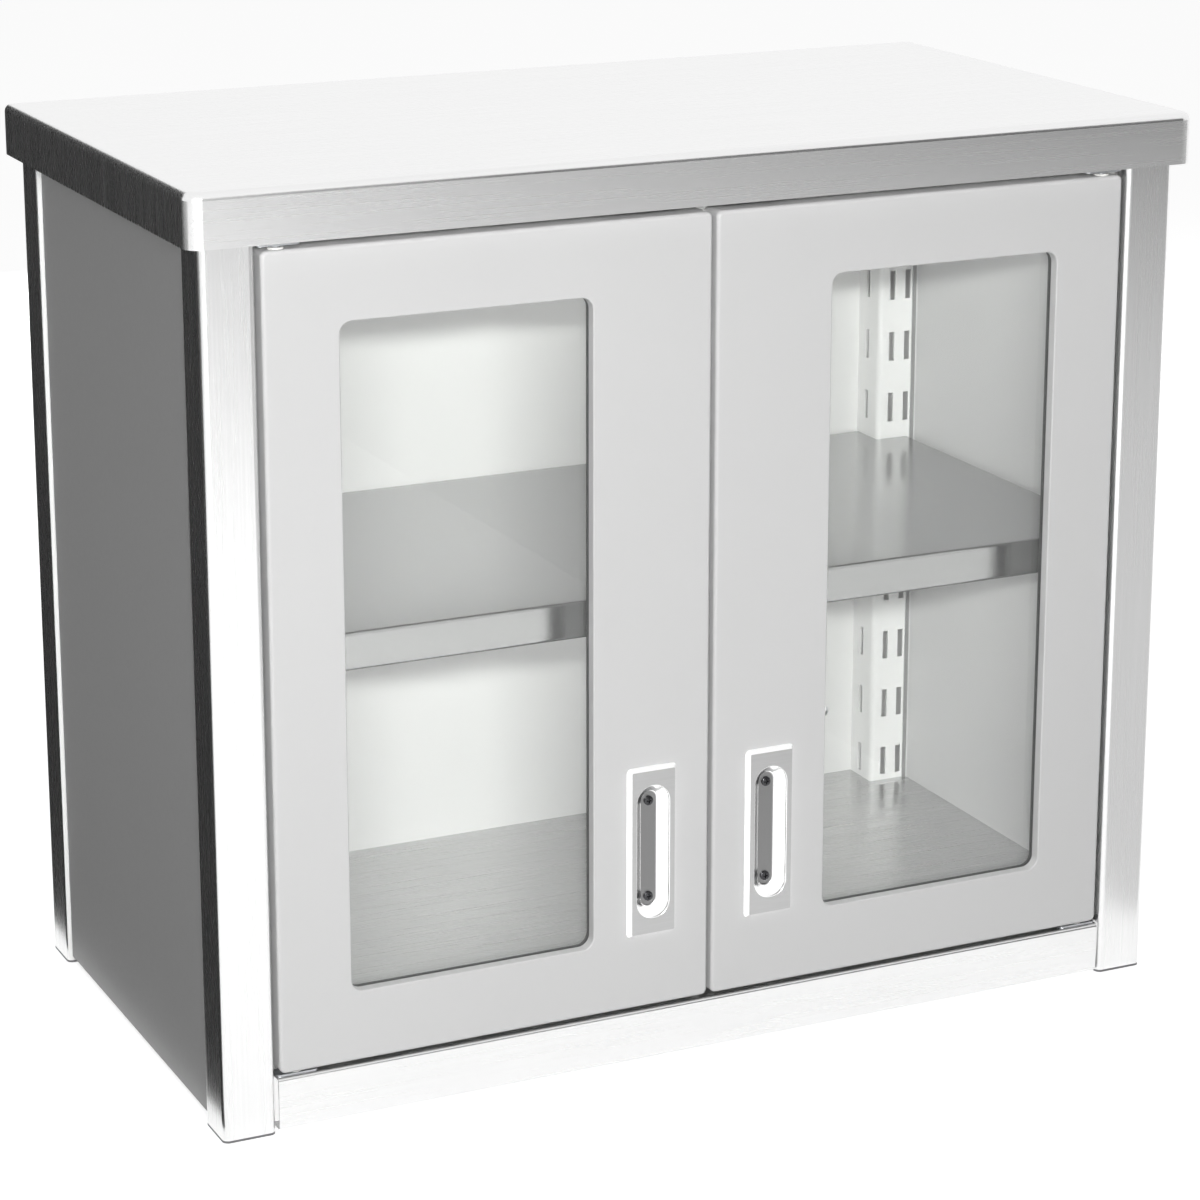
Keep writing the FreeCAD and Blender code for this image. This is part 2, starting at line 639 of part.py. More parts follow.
def right_pull():
    front = FRONT - PULL_PROUD
    half_width = CUP_WIDTH / 2 + PULL_SIDE_BORDER
    half_length = CUP_LENGTH / 2 + PULL_END_BORDER
    plate = box(PULL_X - half_width, PULL_X + half_width, front, FRONT,
                PULL_Z - half_length, PULL_Z + half_length)
    plate = rounded_bar("y", plate, PULL_CORNER)
    plate = plate.makeChamfer(PULL_BEVEL, edges_in_plane(plate, "y", front))
    pull = plate.fuse(cup_form(CUP_WALL)).removeSplitter().cut(cup_form(0))
    pull = pull.makeFillet(CUP_RIM, opening_rim(pull, front, CUP_WIDTH / 2, CUP_LENGTH / 2, PULL_X, PULL_Z))
    bores = []
    for place in pull_screw_places():
        bores.append(Part.makeCylinder(PULL_SCREW_RADIUS + PULL_SCREW_CLEARANCE, CUP_WALL, place, ALONG["y"]))
    return pull.cut(bores)


def right_pull_screws():
    screws = []
    for place in pull_screw_places():
        head_front = place - ALONG["y"] * PULL_SCREW_HEAD
        head = Part.makeCylinder(PULL_SCREW_HEAD_RADIUS, PULL_SCREW_HEAD, head_front, ALONG["y"])
        head = head.makeFillet(PULL_SCREW_DOME, edges_in_plane(head, "y", head_front.y))
        reach = CLAMP_BACK + PULL_SCREW_END - place.y
        shank = Part.makeCylinder(PULL_SCREW_RADIUS, reach, place, ALONG["y"])
        screws.append(head.fuse(shank).removeSplitter())
    return Part.makeCompound(screws)


def right_pull_clamp():
    half = CLAMP_WIDTH / 2
    outer = CUP_LENGTH / 2 + CUP_WALL + CLAMP_LEG_GAP + CLAMP_SHEET
    front = FRONT + SHEET
    radius = PULL_SCREW_RADIUS + PULL_SCREW_CLEARANCE
    low, high = PULL_Z - outer, PULL_Z + outer
    path = [(front, low), (CLAMP_BACK, low), (CLAMP_BACK, high), (front, high)]
    strip = folded_strip("x", PULL_X - half, PULL_X + half, path, CLAMP_SHEET, CLAMP_FOLD)
    bores = []
    for place in pull_screw_places():
        start = Vector(place.x, CUP_BACK, place.z)
        bores.append(Part.makeCylinder(radius, CLAMP_SHEET, start, ALONG["y"]))
    return strip.cut(bores)


# Catch: a housing with a magnet under the header, and its strike plate on the door liner
def right_catch_parts():
    strike_back = LINER_BACK + STRIKE_THICKNESS
    y0 = strike_back + CATCH_GAP
    x0, x1 = CATCH_FROM_MIDDLE, CATCH_FROM_MIDDLE + CATCH_LENGTH
    z0 = HEADER_FOOT - CATCH_HEIGHT
    housing = rounded_bar("z", box(x0, x1, y0, y0 + CATCH_DEPTH, z0, HEADER_FOOT), CATCH_CORNER)

    def insert(gap):
        side, rim = MAGNET_MARGIN + gap, MAGNET_BORDER + gap
        return box(x0 + side, x1 - side, y0, y0 + MAGNET_DEPTH, z0 + rim, DOOR_TOP - rim)

    strike = box(x0, x1, LINER_BACK, strike_back, z0, DOOR_TOP - SHEET - STRIKE_BORDER)
    return housing.cut(insert(0)), insert(MAGNET_CLEARANCE), rounded_bar("y", strike, STRIKE_CORNER)


def mirrored(shape):
    """The same piece on the left side."""
    return shape.mirror(*MIDDLE_PLANE)


def build():
    housing, magnet, strike = right_catch_parts()
    top = (HEADER_FOOT, FRAME_TOP)
    paired = {
        "front_{}_post": right_post(FRONT, FRONT_POST_BACK - TUBE_WALL, False),
        "rear_{}_post": right_post(REAR_POST_FRONT, REAR_POST_FRONT, True),
        "{}_top_rail": square_tube("y", POST_INNER, HALF_BODY, FRONT_POST_BACK, REAR_POST_FRONT, *top),
        "{}_side_panel": right_side_panel(),
        "{}_shelf_rail": right_shelf_rail(),
        "{}_upper_pivot": right_pivot(True),
        "{}_lower_pivot": right_pivot(False),
        "{}_catch": housing,
        "{}_catch_magnet": magnet,
        "{}_door_skin": right_door_skin(),
        "{}_door_liner": right_door_liner(),
        "{}_door_glass": right_glass(),
        "{}_door_gasket": right_gasket(),
        "{}_upper_bearing_block": right_bearing_block(True),
        "{}_lower_bearing_block": right_bearing_block(False),
        "{}_pull": right_pull(),
        "{}_pull_screws": right_pull_screws(),
        "{}_pull_clamp": right_pull_clamp(),
        "{}_strike_plate": strike,
    }
    plugs = [end_plug(FRONT), end_plug(REAR_POST_FRONT)]
    plugs = plugs + [mirrored(plug) for plug in plugs]
    nodes = {
        "top_cap": top_cap(),
        "front_header": square_tube("x", -POST_INNER, POST_INNER, FRONT, FRONT_POST_BACK, *top),
        "rear_header": square_tube("x", -POST_INNER, POST_INNER, REAR_POST_FRONT, BACK, *top),
        "post_end_plugs": Part.makeCompound(plugs),
        "ceiling_panel": ceiling_panel(),
        "back_panel": back_panel(),
        "upper_wall_rail": wall_rail(WALL_ROW_UPPER),
        "lower_wall_rail": wall_rail(WALL_ROW_LOWER),
        "floor_tray": floor_tray(),
        "shelf": shelf(),
    }
    for name, shape in paired.items():
        nodes[name.format("right")] = shape
        nodes[name.format("left")] = mirrored(shape)
    return nodes


os.makedirs("parts", exist_ok=True)
for node, shape in build().items():
    shape.exportStep("parts/" + node + ".step")
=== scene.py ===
"""Looks of the glass door wall cabinet: finishes, small screws, studio and camera.

Lengths in the classes are in millimetres, as in the CAD, and become metres where a mesh is made.
The studio's own classes say where they count in metres.
"""
import logging
import math
from dataclasses import dataclass, field
from enum import Enum
from typing import Any, Iterable

import bpy
import numpy as np
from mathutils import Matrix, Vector


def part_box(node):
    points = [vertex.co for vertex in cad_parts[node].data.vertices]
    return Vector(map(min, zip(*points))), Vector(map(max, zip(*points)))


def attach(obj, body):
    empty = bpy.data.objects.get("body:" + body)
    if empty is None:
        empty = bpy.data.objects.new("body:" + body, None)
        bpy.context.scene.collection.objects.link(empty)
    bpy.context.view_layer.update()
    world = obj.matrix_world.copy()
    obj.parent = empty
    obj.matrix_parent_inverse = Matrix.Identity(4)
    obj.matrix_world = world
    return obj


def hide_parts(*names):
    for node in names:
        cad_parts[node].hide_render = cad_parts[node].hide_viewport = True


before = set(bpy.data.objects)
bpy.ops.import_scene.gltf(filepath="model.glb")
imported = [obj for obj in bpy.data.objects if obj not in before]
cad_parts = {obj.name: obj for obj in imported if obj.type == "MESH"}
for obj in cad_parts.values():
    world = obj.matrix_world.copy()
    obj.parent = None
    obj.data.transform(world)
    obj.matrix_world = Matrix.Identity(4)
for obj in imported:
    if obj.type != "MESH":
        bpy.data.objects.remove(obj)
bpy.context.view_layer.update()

log = logging.getLogger("cabinet")

MM = 0.001
WHITE = (1.0, 1.0, 1.0, 1.0)
# Cosine above which a face counts as turned towards an axis.
FACES_ALONG = 0.7
# Cosine below which a face counts as looking into the cabinet.
FACES_IN = -0.5

Point = tuple[float, float, float]
Colour = tuple[float, float, float, float]
Faces = list[list[int]]
Tree = bpy.types.NodeTree
Socket = bpy.types.NodeSocket


class Side(Enum):
    """The two sides of the cabinet, with a door on each."""

    LEFT = "left"
    RIGHT = "right"

    @property
    def label(self) -> str:
        """The word that node names carry for this side."""
        return self.value


class Grain(Enum):
    """Which way the brush lines of a sheet run, as the axis number."""

    ALONG_X = 0
    ALONG_Z = 2


def to_linear(code: str) -> Colour:
    """Turns an sRGB hex colour into linear RGBA.

    Args:
        code: six hex digits.

    Returns:
        The colour as four linear numbers, with full alpha.
    """
    values = np.array([int(code[i:i + 2], 16) for i in (0, 2, 4)]) / 255.0
    linear = np.where(values <= 0.04045, values / 12.92, ((values + 0.055) / 1.055) ** 2.4)
    return (float(linear[0]), float(linear[1]), float(linear[2]), 1.0)


def dimmed(colour: Colour, share: float) -> Colour:
    """Scales a colour's brightness and keeps its alpha."""
    return (colour[0] * share, colour[1] * share, colour[2] * share, colour[3])


def per_metre(size: float) -> float:
    """Gives the texture scale at which one feature of a pattern is this many millimetres."""
    return 1.0 / (size * MM)


def add_node(tree: Tree, kind: str, inputs: dict[Any, Any] | None = None,
             **settings: Any) -> bpy.types.Node:
    """Adds a shader node with its settings, values and links.

    Args:
        tree: the node tree it goes into.
        kind: the node's type name.
        inputs: socket names or numbers with a value, or with another node's output to link.
        settings: properties of the node.

    Returns:
        The new node.
    """
    node = tree.nodes.new(kind)
    for name, value in settings.items():
        setattr(node, name, value)
    for socket, value in (inputs or {}).items():
        if isinstance(value, Socket):
            tree.links.new(value, node.inputs[socket])
        else:
            node.inputs[socket].default_value = value
    return node


def calc(tree: Tree, operation: str, first: Any, second: Any = 0.0) -> Socket:
    """Works out one sum; an operation that takes one number leaves the second aside."""
    return add_node(tree, "ShaderNodeMath", {0: first, 1: second}, operation=operation).outputs[0]


def components(tree: Tree, vector: Socket) -> bpy.types.NodeOutputs:
    """Splits a vector into its X, Y and Z."""
    return add_node(tree, "ShaderNodeSeparateXYZ", {0: vector}).outputs


def own_place(tree: Tree) -> Socket:
    """Gives the coordinates in the object's own frame."""
    return add_node(tree, "ShaderNodeTexCoord").outputs["Object"]


def noise(tree: Tree, place: Socket, size: float, detail: float = 2.0) -> Socket:
    """Lays noise over coordinates, with features of a size in millimetres and some finer layers."""
    inputs = {"Vector": place, "Scale": per_metre(size), "Detail": detail}
    return add_node(tree, "ShaderNodeTexNoise", inputs).outputs[0]


def drawn(tree: Tree, place: Socket, lengths: Point) -> Socket:
    """Scales coordinates so that one unit is a length of its own, in millimetres, on each axis."""
    scale = Vector([per_metre(length) for length in lengths])
    return add_node(tree, "ShaderNodeMapping", {"Vector": place, "Scale": scale}).outputs[0]


def lines_over(tree: Tree, place: Socket, detail: float) -> Socket:
    """Lays noise over coordinates that are already scaled."""
    inputs = {"Vector": place, "Scale": 1.0, "Detail": detail}
    return add_node(tree, "ShaderNodeTexNoise", inputs).outputs[0]


def ramp(tree: Tree, value: Socket, ends: tuple[float, float],
         start: float = 0.0, stop: float = 1.0) -> Socket:
    """Spreads a value evenly between two ends and holds it there outside its range.

    Args:
        tree: the material's node tree.
        value: what is spread.
        ends: the results at the start and at the stop.
        start: the value that gives the first end.
        stop: the value that gives the second end.

    Returns:
        The result's output socket.
    """
    inputs = {"Value": value, "From Min": start, "From Max": stop,
              "To Min": ends[0], "To Max": ends[1]}
    return add_node(tree, "ShaderNodeMapRange", inputs).outputs[0]


def blend(tree: Tree, share: Socket, first: Any, second: Any) -> Socket:
    """Mixes two colours, by the share of the second."""
    inputs = {0: share, 6: first, 7: second}
    return add_node(tree, "ShaderNodeMix", inputs, data_type="RGBA").outputs[2]


def mottle(tree: Tree, pattern: Socket, code: str, depth: float) -> Socket:
    """Darkens a hex colour where a pattern is high, by a share of it where the pattern is 1."""
    light = to_linear(code)
    return blend(tree, pattern, light, dimmed(light, 1.0 - depth))


def bump(tree: Tree, height: Socket, strength: float, depth: float) -> Socket:
    """Raises a pattern off the surface, by a depth in millimetres."""
    inputs = {"Height": height, "Strength": strength, "Distance": depth * MM}
    return add_node(tree, "ShaderNodeBump", inputs).outputs[0]


def principled(tree: Tree, inputs: dict[str, Any]) -> Socket:
    """Adds the general shader."""
    return add_node(tree, "ShaderNodeBsdfPrincipled", inputs).outputs[0]


def mix_shaders(tree: Tree, share: Socket, first: Socket, second: Socket) -> Socket:
    """Mixes two shaders, by the share of the second."""
    return add_node(tree, "ShaderNodeMixShader", {0: share, 1: first, 2: second}).outputs[0]


def outward(tree: Tree, place: bpy.types.Node) -> Socket:
    """Tells how squarely a surface faces away from the cabinet's middle plane, as a cosine."""
    side = calc(tree, "SIGN", components(tree, place.outputs["Object"])[0])
    return calc(tree, "MULTIPLY", side, components(tree, place.outputs["Normal"])[0])


def seen_directly(tree: Tree) -> Socket:
    """Tells the rays of the eye, of mirrors and of glass from those of soft light.

    Args:
        tree: the node tree of a stage material or of the world.

    Returns:
        1 for what is seen directly, and 0 for soft light.
    """
    path = add_node(tree, "ShaderNodeLightPath").outputs
    seen = calc(tree, "MAXIMUM", path["Is Camera Ray"], path["Is Glossy Ray"])
    return calc(tree, "MAXIMUM", seen, path["Is Transmission Ray"])


@dataclass(frozen=True)
class Finish:
    """A surface finish that makes its material once."""

    name: str
    colour: str
    roughness: float = 1.0

    def material(self) -> bpy.types.Material:
        """Makes the material the first time and hands the same one out after that.

        Returns:
            The finish as a node material.
        """
        known = bpy.data.materials.get(self.name)
        if known is not None:
            return known
        made = bpy.data.materials.new(self.name)
        made.use_nodes = True
        tree = made.node_tree
        tree.nodes.clear()
        surface = self.shade(tree)
        add_node(tree, "ShaderNodeOutputMaterial", {"Surface": surface})
        return made

    def shade(self, tree: Tree) -> Socket:
        """Builds the shader; each kind of finish has its own.

        Args:
            tree: the material's empty node tree.

        Returns:
            The shader's output socket.
        """
        raise NotImplementedError

    def gloss(self, tree: Tree, pattern: Socket, spread: float) -> Socket:
        """Varies the roughness with a pattern, by a spread to either side."""
        return ramp(tree, pattern, (self.roughness - spread, self.roughness + spread))


@dataclass(frozen=True)
class PaintedSteel(Finish):
    """Powder-coated sheet: an even satin colour with faint orange peel that softens its shine."""

    # Powder coat peels at about 1.5 mm; drawn at 3 mm so that it spans more than a pixel.
    peel: float = 3.0
    peel_depth: float = 0.012
    peel_strength: float = 0.25
    peel_gloss: float = 0.04
    cloud: float = 180.0
    cloud_depth: float = 0.035

    def shade(self, tree: Tree) -> Socket:
        """Satin paint: large faint clouds in the colour, fine peel in the normal.

        Args:
            tree: the material's empty node tree.

        Returns:
            The shader's output socket.
        """
        place = own_place(tree)
        peel = noise(tree, place, self.peel, detail=1.0)
        return principled(tree, {
            "Base Color": self.tone(tree, noise(tree, place, self.cloud)),
            "Roughness": self.gloss(tree, peel, self.peel_gloss),
            "Normal": bump(tree, peel, self.peel_strength, self.peel_depth)})

    def tone(self, tree: Tree, cloud: Socket) -> Socket:
        """Clouds the paint's one colour."""
        return mottle(tree, cloud, self.colour, self.cloud_depth)


@dataclass(frozen=True)
class PanelPaintWithPaintedShade(PaintedSteel):
    """Side panel paint with painted shade: mid grey on the face that looks out, darker as painted
    shade, and pale grey on the one that looks in.
    """

    inner: str = "DCDCDC"

    def tone(self, tree: Tree, cloud: Socket) -> Socket:
        """Picks the tone by whether the surface faces the cabinet's middle plane."""
        cosine = outward(tree, add_node(tree, "ShaderNodeTexCoord"))
        # Painted shade: faces that look out take the mid grey, faces that look in the pale grey.
        return blend(tree, calc(tree, "LESS_THAN", cosine, FACES_IN),
                     super().tone(tree, cloud), to_linear(self.inner))


@dataclass(frozen=True)
class BrushedStainless(Finish):
    """Brushed stainless sheet: long fine lines that spread reflections across the grain."""

    grain: Grain = Grain.ALONG_X
    # Brush lines are under 0.1 mm wide; drawn 1.2 mm wide so that the picture can hold them.
    line_width: float = 1.2
    line_length: float = 160.0
    line_depth: float = 0.010
    line_strength: float = 0.35
    line_gloss: float = 0.07
    contrast: float = 0.08
    # Share of the colour that level faces keep, a painted shade that darkens the tray's floor
    # against its folded front.
    level_shade: float = 1.0

    def along(self, tree: Tree, place: Socket, way: Grain) -> Socket:
        """Scales coordinates so that noise over them is drawn out into lines.

        Args:
            tree: the material's node tree.
            place: the coordinates.
            way: the axis that the lines follow.

        Returns:
            The scaled coordinates.
        """
        lengths = [self.line_width] * 3
        lengths[way.value] = self.line_length
        return drawn(tree, place, tuple(lengths))

    def shade(self, tree: Tree) -> Socket:
        """Metal with drawn-out noise; on folds that face along the grain the lines run down.

        Args:
            tree: the material's empty node tree.

        Returns:
            The shader's output socket.
        """
        place = add_node(tree, "ShaderNodeTexCoord").outputs
        flat = self.along(tree, place["Object"], self.grain)
        folded = self.along(tree, place["Object"], Grain.ALONG_Z)
        facing = components(tree, place["Normal"])
        squarely = calc(tree, "ABSOLUTE", facing[self.grain.value])
        turned = calc(tree, "GREATER_THAN", squarely, FACES_ALONG)
        inputs = {0: turned, 4: flat, 5: folded}
        along = add_node(tree, "ShaderNodeMix", inputs, data_type="VECTOR")
        lines = lines_over(tree, along.outputs[1], detail=3.0)
        colour = mottle(tree, lines, self.colour, self.contrast)
        # Painted shade: faces that look up are darkened.
        if self.level_shade < 1.0:
            level = calc(tree, "GREATER_THAN", facing[2], FACES_ALONG)
            colour = blend(tree, level, colour, dimmed(to_linear(self.colour), self.level_shade))
        return principled(tree, {
            "Base Color": colour, "Metallic": 1.0,
            "Roughness": self.gloss(tree, lines, self.line_gloss),
            "Normal": bump(tree, lines, self.line_strength, self.line_depth)})


@dataclass(frozen=True)
class StainlessWithPaintedLitFaces(BrushedStainless):
    """Rear post: brushed stainless outside, with a white painted light on the two faces that look
    in.
    """

    painted_light_tone: str = "F6F6F5"
    painted_light_roughness: float = 0.3
    cloud: float = 60.0
    cloud_depth: float = 0.03

    def shade(self, tree: Tree) -> Socket:
        """Lays white over the metal where it faces the front or the cabinet's middle plane, as
        painted light.

        Args:
            tree: the material's empty node tree.

        Returns:
            The shader's output socket.
        """
        metal = super().shade(tree)
        place = add_node(tree, "ShaderNodeTexCoord")
        rearward = components(tree, place.outputs["Normal"])[1]
        least = calc(tree, "MINIMUM", outward(tree, place), rearward)
        # Painted light: the faces that look in turn white, as if lit.
        inside = calc(tree, "LESS_THAN", least, FACES_IN)
        cloud = noise(tree, place.outputs["Object"], self.cloud)
        paint = principled(tree, {"Base Color": mottle(tree, cloud, self.painted_light_tone, self.cloud_depth),
                                  "Roughness": self.painted_light_roughness})
        return mix_shaders(tree, inside, metal, paint)


@dataclass(frozen=True)
class BevelledSteel(Finish):
    """Pressed pull plate: a satin face, a painted highlight in white on bevels and cup walls, and
    painted shade on the cup floor.
    """

    bright: str = "FFFFFF"
    painted_shade_tone: str = "808080"
    # Between these two planes along Y the satin tone goes over into painted shade on the cup floor.
    shade_from: float = -172.0
    shade_to: float = -170.6
    # Cosines to the front: above the first a face is satin, below the second it takes the painted
    # highlight.
    satin_above: float = 0.96
    highlight_below: float = 0.80
    highlight_gloss: float = 0.6
    # Satin lines are under 0.1 mm wide; drawn 0.9 mm wide so that the picture can hold them.
    line_width: float = 0.9
    line_length: float = 24.0
    contrast: float = 0.10

    def shade(self, tree: Tree) -> Socket:
        """Metal that goes from satin to a painted highlight as the surface turns away from the
        front, with painted shade on the cup floor.

        Args:
            tree: the material's empty node tree.

        Returns:
            The shader's output socket.
        """
        place = add_node(tree, "ShaderNodeTexCoord").outputs
        along = drawn(tree, place["Object"], (self.line_length, self.line_width, self.line_width))
        lines = mottle(tree, lines_over(tree, along, detail=2.0), self.colour, self.contrast)
        squarely = calc(tree, "ABSOLUTE", components(tree, place["Normal"])[1])
        # Painted highlight: faces that turn away from the front are mixed towards white.
        turned = ramp(tree, squarely, (0.0, 1.0), self.satin_above, self.highlight_below)
        # Painted shade: the cup floor, deepest in the recess, goes darker.
        depth = components(tree, place["Object"])[1]
        deep = ramp(tree, depth, (0.0, 1.0), self.shade_from * MM, self.shade_to * MM)
        satin = blend(tree, deep, lines, to_linear(self.painted_shade_tone))
        return principled(tree, {
            "Base Color": blend(tree, turned, satin, to_linear(self.bright)), "Metallic": 1.0,
            "Roughness": ramp(tree, turned, (self.roughness, self.roughness * self.highlight_gloss))})


@dataclass(frozen=True)
class FloatGlass(Finish):
    """Clear float glass: a faint mirror of the room over what lies behind, and a trace of smear."""

    smear: float = 140.0
    smear_depth: float = 0.02
    smear_gloss: float = 0.012
    index: float = 1.5

    def shade(self, tree: Tree) -> Socket:
        """Glass for the eye and for mirrors; plain clear for lamps and soft light.

        Args:
            tree: the material's empty node tree.

        Returns:
            The shader's output socket.
        """
        smear = noise(tree, own_place(tree), self.smear, detail=3.0)
        glass = principled(tree, {
            "Base Color": mottle(tree, smear, self.colour, self.smear_depth),
            "Roughness": ramp(tree, smear, (self.roughness, self.roughness + self.smear_gloss)),
            "Transmission Weight": 1.0, "IOR": self.index})
        clear = add_node(tree, "ShaderNodeBsdfTransparent", {"Color": to_linear(self.colour)})
        path = add_node(tree, "ShaderNodeLightPath").outputs
        soft = calc(tree, "MAXIMUM", path["Is Shadow Ray"], path["Is Diffuse Ray"])
        return mix_shaders(tree, soft, glass, clear.outputs[0])


@dataclass(frozen=True)
class Moulded(Finish):
    """Moulded plastic, rubber or ferrite: a matt skin with a fine speckle from the mould."""

    # Mould grain is about 0.4 mm; drawn at 1.5 mm so that it doesn't turn to noise.
    speckle: float = 1.5
    speckle_depth: float = 0.02
    speckle_strength: float = 0.3
    contrast: float = 0.10

    def shade(self, tree: Tree) -> Socket:
        """Speckled colour and normal over a matt base.

        Args:
            tree: the material's empty node tree.

        Returns:
            The shader's output socket.
        """
        grain = noise(tree, own_place(tree), self.speckle)
        return principled(tree, {
            "Base Color": mottle(tree, grain, self.colour, self.contrast),
            "Roughness": self.roughness,
            "Normal": bump(tree, grain, self.speckle_strength, self.speckle_depth)})


@dataclass(frozen=True)
class PlatedSteel(Finish):
    """Zinc-plated steel: crystal patches that change the shine from place to place."""

    spangle: float = 4.0
    spangle_gloss: float = 0.05
    contrast: float = 0.15

    def shade(self, tree: Tree) -> Socket:
        """Metal with patches of slightly different colour and shine.

        Args:
            tree: the material's empty node tree.

        Returns:
            The shader's output socket.
        """
        place = own_place(tree)
        inputs = {"Vector": place, "Scale": per_metre(self.spangle)}
        patch = add_node(tree, "ShaderNodeTexVoronoi", inputs)
        tone = add_node(tree, "ShaderNodeSeparateColor", {0: patch.outputs["Color"]}).outputs
        return principled(tree, {
            "Base Color": mottle(tree, tone[0], self.colour, self.contrast), "Metallic": 1.0,
            "Roughness": self.gloss(tree, tone[1], self.spangle_gloss)})


CAP_STEEL = BrushedStainless("brushed_stainless_cap", "F4F4F4", 0.26, contrast=0.10)
POST_STEEL = BrushedStainless("brushed_stainless_post", "EAEAEA", 0.26, Grain.ALONG_Z)
# Rear posts: stainless, with painted light on the faces that look in.
REAR_POST_STEEL = StainlessWithPaintedLitFaces("stainless_rear_post_with_painted_light", "EAEAEA", 0.26, Grain.ALONG_Z)
HEADER_STEEL = BrushedStainless("brushed_stainless_header", "EAEAEA", 0.26)
TRAY_STEEL = BrushedStainless("brushed_stainless_tray", "E6E6E6", 0.26, contrast=0.05, level_shade=0.72)
SHELF_STEEL = BrushedStainless("satin_stainless_shelf", "B6B6B6", 0.20, contrast=0.05)
PULL_STEEL = BevelledSteel("bevelled_satin_pull", "B8B8B8", 0.30)
INNER_PAINT = PaintedSteel("white_powder_coat_inside", "F4F4F3", 0.30)
# The panel's outer mid grey is painted shade over the paler grey of its inner face.
PANEL_PAINT_WITH_SHADE = PanelPaintWithPaintedShade("grey_panel_paint_with_painted_shade", "8C8C8C", 0.48)
DOOR_PAINT = PaintedSteel("light_grey_powder_coat_door", "CCCCCC", 0.45)
PANE = FloatGlass("clear_float_glass", "FBFCFB", 0.0)
RUBBER = Moulded("grey_glazing_rubber", "606060", 0.70)
PLASTIC = Moulded("grey_moulded_plastic", "6E6E70", 0.55)
NYLON = Moulded("white_nylon", "E6E5E0", 0.50, contrast=0.05)
FERRITE = Moulded("sintered_ferrite", "2E2E30", 0.60, contrast=0.25)
ZINC = PlatedSteel("zinc_plated_steel", "BFC1C4", 0.38)
DARK_SCREW = PlatedSteel("dark_zinc_screw", "4A4A4C", 0.18, spangle=1.5)


def dress(names: Iterable[str], finish: Finish) -> None:
    """Puts a finish on CAD nodes through their material slots.

    Args:
        names: node names.
        finish: what they are made of.
    """
    for name in names:
        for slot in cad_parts[name].material_slots:
            slot.material = finish.material()
        log.info("%s: %s", name, finish.name)


def mesh_object(name: str, points: np.ndarray, faces: Faces) -> bpy.types.Object:
    """Makes a mesh object at the origin from points in millimetres.

    Args:
        name: the object's name.
        points: one row of X, Y, Z for each vertex.
        faces: vertex numbers of each face.

    Returns:
        The object, in the scene.
    """
    mesh = bpy.data.meshes.new(name)
    mesh.from_pydata((points * MM).tolist(), [], faces)
    mesh.validate()
    made = bpy.data.objects.new(name, mesh)
    bpy.context.scene.collection.objects.link(made)
    return made


